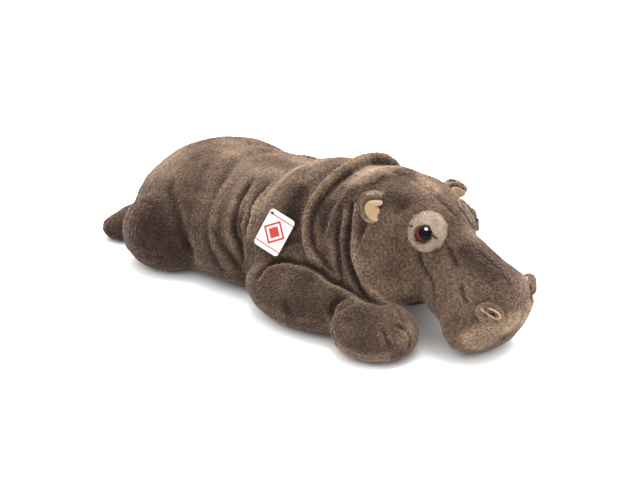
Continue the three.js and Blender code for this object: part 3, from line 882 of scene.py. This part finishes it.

# ---- Eyelids: a round pad of pale plush sewn on under each eye ----------------------------------
# Its pile is paler and finer than the body's, and brushed every way. The pad is stuffed a little,
# and its pile is painted darker round the rim: painted shade where it runs down into the seam.

LID_VOXEL, LID_ROUNDS = 0.8 * MM, 200
# The left pad's tone is set higher than the right's: painted light on the far pad, which sits in shade.
LIDS = {"right": dict(sunk=0.9, tone=0.5), "left": dict(sunk=2.0, tone=0.6)}
pale_plush = plush("pale_plush", "857060", "bda68e", "9f8a75", "d8c5ac", grit=0.4)
lid_trees = {}
for seed, (side, lid) in enumerate(LIDS.items()):
    mesh = soft_copy([f"eyelid_{side}"], LID_VOXEL, LID_ROUNDS)
    points = read(mesh.vertices, "co", 3)
    points += normals(mesh) * (ripple(points, 6 * MM, seed)[:, None] * 0.8 - lid["sunk"]) * MM
    move_to(mesh, points)
    centre = points.mean(0)
    away = points - centre
    far = np.linalg.norm(away, axis=1)
    tones = lid["tone"] + 0.3 * ripple(points, 7 * MM, 20 + seed)
    # Painted shade round the rim of the pad.
    tones = tones - 0.7 * np.clip((far / far.max() - 0.72) / 0.28, 0, 1)
    attribute(mesh, "tone", tones)
    pad = joined(mesh, f"eyelid_pad_{side}", pale_plush, "pale_plush", f"eyelid_{side}")
    turned = np.stack([ripple(points, 9 * MM, 31 + k + seed) for k in range(3)], 1)
    coat(f"coat_eyelid_{side}", mesh, np.ones(len(points), bool), 16000, np.full(len(points), 3.0 * MM),
         width=0.5 * MM, lean=38, flow=away / far[:, None] + turned * 1.3, tone=tones,
         ends=(centre, centre + normals(mesh).mean(0) + [0, 0, 0.004]),
         material=pale_plush, seed=60 + seed)
    lid_trees[side] = surface_tree(mesh, points)

# ---- Eyes: brown safety eyes of clear acrylic over a painted back -------------------------------
# Each is a glossy dome on a shank that is locked inside the head, made here as a whole ball of
# which the head hides the back. A wide black pupil fills it but for a thin ring of brown iris.

EYE_RADIUS, EYE_STEP = 8.2 * MM, 0.3 * MM
PUPIL_EDGE = (0.5, 0.56)
EYES = {
    "right": dict(gaze=(0.71, -0.435, 0.55), facing=(0.45, -0.79, 0.42)),
    "left": dict(gaze=(0.75, 0.45, 0.48), facing=(0.56, 0.70, 0.44)),
}


def acrylic_eye(name, centre, gaze):
    """Polished acrylic: a small sharp highlight over a dark pupil and a red-brown ring of fibres."""
    made, tree, shader = material_of(name, {"Roughness": 0.04, "IOR": 1.49, "Specular IOR Level": 0.06})
    place = add(tree, "TexCoord").outputs["Object"]
    away = add(tree, "VectorMath", {"operation": "SUBTRACT"}, {1: centre}, {0: place})
    ray = add(tree, "VectorMath", {"operation": "NORMALIZE"}, links={0: away.outputs[0]})
    facing = add(tree, "VectorMath", {"operation": "DOT_PRODUCT"}, {1: gaze}, {0: ray.outputs[0]})
    fibres = add(tree, "TexNoise", values={"Scale": 900, "Detail": 2}, links={"Vector": place})
    iris = add(tree, "Mix", {"data_type": "RGBA"}, {6: linear("2d120a"), 7: linear("5a2716")},
               {0: fibres.outputs["Fac"]})
    pupil = add(tree, "MapRange", values={1: PUPIL_EDGE[0], 2: PUPIL_EDGE[1]},
                links={0: facing.outputs["Value"]})
    eye = add(tree, "Mix", {"data_type": "RGBA"}, {7: linear("050404")},
              {0: pupil.outputs[0], 6: iris.outputs[2]})
    tree.links.new(eye.outputs[2], shader.inputs["Base Color"])
    return made


for side, set_in in EYES.items():
    gaze, facing = Vector(set_in["gaze"]).normalized(), Vector(set_in["facing"]).normalized()
    points = read(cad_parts[f"eye_{side}"].data.vertices, "co", 3)
    front = points @ np.array(facing)
    foremost = Vector(points[front > front.max() - SAME_PLACE].mean(0))
    centre = foremost - facing * (EYE_RADIUS - EYE_STEP)
    made = bmesh.new()
    bmesh.ops.create_uvsphere(made, u_segments=48, v_segments=32, radius=EYE_RADIUS)
    bmesh.ops.rotate(made, verts=made.verts, matrix=facing.to_track_quat("Z", "Y").to_matrix())
    bmesh.ops.translate(made, verts=made.verts, vec=centre)
    acrylic = acrylic_eye(f"eye_acrylic_{side}", centre, gaze)
    shining.objects.link(finished(made, f"eyeball_{side}", acrylic, "eye", f"eye_{side}"))

# ---- Lashes: two black threads at the corners of each eye ---------------------------------------
# Each is stitched through the pad and laid over its pile, drawn to a point at both ends.

LASH_LIFT = 3.0
LASHES = {
    "outer": dict(line=[(139.8, -38.4, 107.8), (143.8, -40.4, 108), (147.9, -41.2, 107.2)], thick=1.5),
    "inner": dict(line=[(158.4, -38.4, 106.6), (163.5, -35.9, 104.4), (168.3, -33.8, 101)], thick=1.9),
}


def nylon(name, dark, pale):
    """Twisted nylon thread: nearly black, with a faint silky gloss."""
    made, tree, shader = material_of(name, {"Roughness": 0.4, "Specular IOR Level": 0.15})
    place = add(tree, "TexCoord").outputs["Object"]
    specks = add(tree, "TexNoise", values={"Scale": 700}, links={"Vector": place})
    tint = add(tree, "Mix", {"data_type": "RGBA"}, {6: linear(dark), 7: linear(pale)},
               {0: specks.outputs["Fac"]})
    tree.links.new(tint.outputs[2], shader.inputs["Base Color"])
    return made


black_nylon = nylon("black_nylon", "141313", "2a2826")


def lash(name, places, thick):
    """A thread through these places, of this thickness in the middle."""
    made = bmesh.new()
    bmesh.ops.create_grid(made, x_segments=24, y_segments=8, size=1)
    for vert in made.verts:
        along, turn = (vert.co.x + 1) / 2 * (len(places) - 1), vert.co.y * math.pi
        k = min(int(along), len(places) - 2)
        start, end = Vector(places[k]), Vector(places[k + 1])
        side = (end - start).cross(Vector((0, 0, 1))).normalized()
        rise = side.cross(end - start).normalized()
        half = thick / 2 * math.sqrt(max(0.0, math.sin(math.pi * (vert.co.x + 1) / 2)))
        vert.co = (start.lerp(end, along - k) + (side * math.cos(turn) + rise * math.sin(turn)) * half) * MM
    bmesh.ops.remove_doubles(made, verts=made.verts, dist=0.01 * MM)
    bmesh.ops.recalc_face_normals(made, faces=made.faces[:])
    return finished(made, name, black_nylon, "nylon")


for side, sign in (("right", 1), ("left", -1)):
    for corner, thread in LASHES.items():
        spots = [lid_trees[side].find_nearest(Vector((x, y * sign, z)) * MM) for x, y, z in thread["line"]]
        places = [place / MM + outward * LASH_LIFT for place, outward, _, _ in spots]
        lash(f"{corner}_lash_{side}", places, thread["thick"])

# ---- Nostrils: an oval ring of plush with a folded strip of suede in it -------------------------
# The ring is stuffed, and the strip is folded in two and sewn down with its cut edge outwards. The
# left ring is sewn in a little higher and deeper than the right one.

NOSTRIL_VOXEL, NOSTRIL_ROUNDS = 0.8 * MM, 14
NOSTRIL_MIDDLE, NOSTRIL_FACE, NOSTRIL_LONG = (227.5, -35.3, 51.4), (0.8, -0.55, 0.22), (0.59, 0.68, -0.44)
NOSTRIL_WADS, WAD_RADIUS, WAD_DEPTH, SLIT_DEPTH = (-4.5, 0, 4.5), 5.2, 2.4, 2.2
STRIP_HEIGHT, STRIP_THICKNESS = 3.2, 2.0
# The folded strip's course, in mm along the ring's length and across it.
STRIP = [(-11, 0.2), (-4, -1.6), (4, -2.6), (8, -2.2), (9.6, -0.2), (9.2, 2.4), (6, 4.4), (1, 5.2), (-4, 5.2)]
NOSTRILS = {
    "right": dict(sign=1, climb=(0, 0, 0), sunk=0, strip_rise=2.6),
    "left": dict(sign=-1, climb=(-1.0, -0.7, 5.4), sunk=7.0, strip_rise=-3.4),
}

for seed, (side, sewn) in enumerate(NOSTRILS.items()):
    placed = (NOSTRIL_MIDDLE, NOSTRIL_FACE, NOSTRIL_LONG)
    middle, face, long = (Vector((x, y * sewn["sign"], z)) for x, y, z in placed)
    face, long = face.normalized(), long.normalized()
    short = face.cross(long) * sewn["sign"]
    climb = (Vector(sewn["climb"]) - face * sewn["sunk"]) * MM
    wads = [(*(middle + long * step - face * WAD_DEPTH), WAD_RADIUS) for step in NOSTRIL_WADS]
    mesh = soft_copy([f"nostril_{side}"], NOSTRIL_VOXEL, NOSTRIL_ROUNDS, wads=wads)
    points = read(mesh.vertices, "co", 3)
    away = points / MM - np.array(middle)
    slit = np.exp(-(away @ np.array(short) - 0.6) ** 2 / 0.8 - ((away @ np.array(long) - 1) / 2.6) ** 4)
    points -= np.array(face) * slit[:, None] * SLIT_DEPTH * MM
    points += np.array(climb)
    move_to(mesh, points)
    # Painted shade in the slit: its pile is darker there and shows only its roots' colour.
    tones = np.clip(0.62 + ripple(points, 5 * MM, 90 + seed) * 0.2 - slit, 0, 1)
    attribute(mesh, "tone", tones)
    attribute(mesh, "tip", np.clip(0.5 - slit, 0, 1))
    ring = joined(mesh, f"nostril_ring_{side}", brown_plush, "plush", f"nostril_{side}")
    centre = points.mean(0)
    coat(f"coat_nostril_{side}", mesh, np.ones(len(points), bool), 9000, np.full(len(points), 2.4 * MM),
         width=0.5 * MM, lean=42, flow=points - centre, tone=tones, ends=(centre, centre + [0.003, 0, 0.001]),
         material=brown_plush, seed=80 + seed)
    made = bmesh.new()
    bmesh.ops.create_grid(made, x_segments=48, y_segments=2, size=1)
    for vert in made.verts:
        along = (vert.co.x + 1) / 2 * (len(STRIP) - 1)
        k = min(int(along), len(STRIP) - 2)
        a, b = (STRIP[k][j] + (STRIP[k + 1][j] - STRIP[k][j]) * (along - k) for j in (0, 1))
        rise = sewn["strip_rise"] + STRIP_HEIGHT / 2 * vert.co.y
        vert.co = (middle + long * a + short * b + face * rise) * MM + climb
    made.normal_update()
    bmesh.ops.solidify(made, geom=made.faces[:], thickness=STRIP_THICKNESS * MM)
    bmesh.ops.recalc_face_normals(made, faces=made.faces[:])
    softened(made, 3)
    finished(made, f"nostril_strip_{side}", tan_suede, "suede", f"nostril_lining_{side}")

# ---- Swing tag: a white card with a plain printed device, on a short black thread ---------------
# The shop's tag is a stiff card of 27 by 36 mm with rounded corners, punched at one of them. Its
# device is a ringed diamond between two rules. The card and the thread keep the CAD's own shapes.

TAG_MIDDLE = Vector((19.2, -81.4, 79.1)) * MM
TAG_ACROSS, TAG_UP = Vector((0.928, 0.176, -0.329)), Vector((0.221, 0.449, 0.866))
INK_EDGE = 0.08
RULE, RING, DIAMOND = (13.0, 14.0), (9.2, 11.8), (-1.0, 6.4)


def printed_card(name):
    """Coated board with a satin face, printed in flat red with two rules and a ringed diamond."""
    made, tree, shader = material_of(name, {"Roughness": 0.35})
    place = add(tree, "TexCoord").outputs["Object"]
    away = add(tree, "VectorMath", {"operation": "SUBTRACT"}, {1: TAG_MIDDLE}, {0: place})

    def distance(way):
        flat = add(tree, "VectorMath", {"operation": "DOT_PRODUCT"}, {1: way}, {0: away.outputs[0]})
        return add(tree, "Math", {"operation": "ABSOLUTE"}, links={0: flat.outputs["Value"]}).outputs[0]

    def sum_of(a, b):
        return add(tree, "Math", {"operation": "ADD"}, links={0: a, 1: b}).outputs[0]

    def between(value, start, end):
        above = add(tree, "MapRange", values={1: (start - INK_EDGE) * MM, 2: (start + INK_EDGE) * MM},
                    links={0: value}).outputs[0]
        below = add(tree, "MapRange", values={1: (end - INK_EDGE) * MM, 2: (end + INK_EDGE) * MM, 3: 1, 4: 0},
                    links={0: value}).outputs[0]
        return add(tree, "Math", {"operation": "MULTIPLY"}, links={0: above, 1: below}).outputs[0]

    across, up = distance(TAG_ACROSS), distance(TAG_UP)
    from_middle = sum_of(across, up)
    rules = between(up, *RULE)
    ink = sum_of(sum_of(between(from_middle, *RING), between(from_middle, *DIAMOND)), rules)
    fibres = add(tree, "TexNoise", values={"Scale": 900, "Detail": 2}, links={"Vector": place})
    white = add(tree, "Mix", {"data_type": "RGBA"}, {6: linear("b2afa8"), 7: linear("bbb9b3")},
                {0: fibres.outputs["Fac"]})
    inked = add(tree, "Mix", {"data_type": "RGBA"}, {7: linear("94191d")}, {0: ink, 6: white.outputs[2]})
    tree.links.new(inked.outputs[2], shader.inputs["Base Color"])
    return made


for node, material in (("tag", printed_card("printed_card")), ("tag_fastener", black_nylon)):
    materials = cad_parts[node].data.materials
    materials.clear()
    materials.append(material)
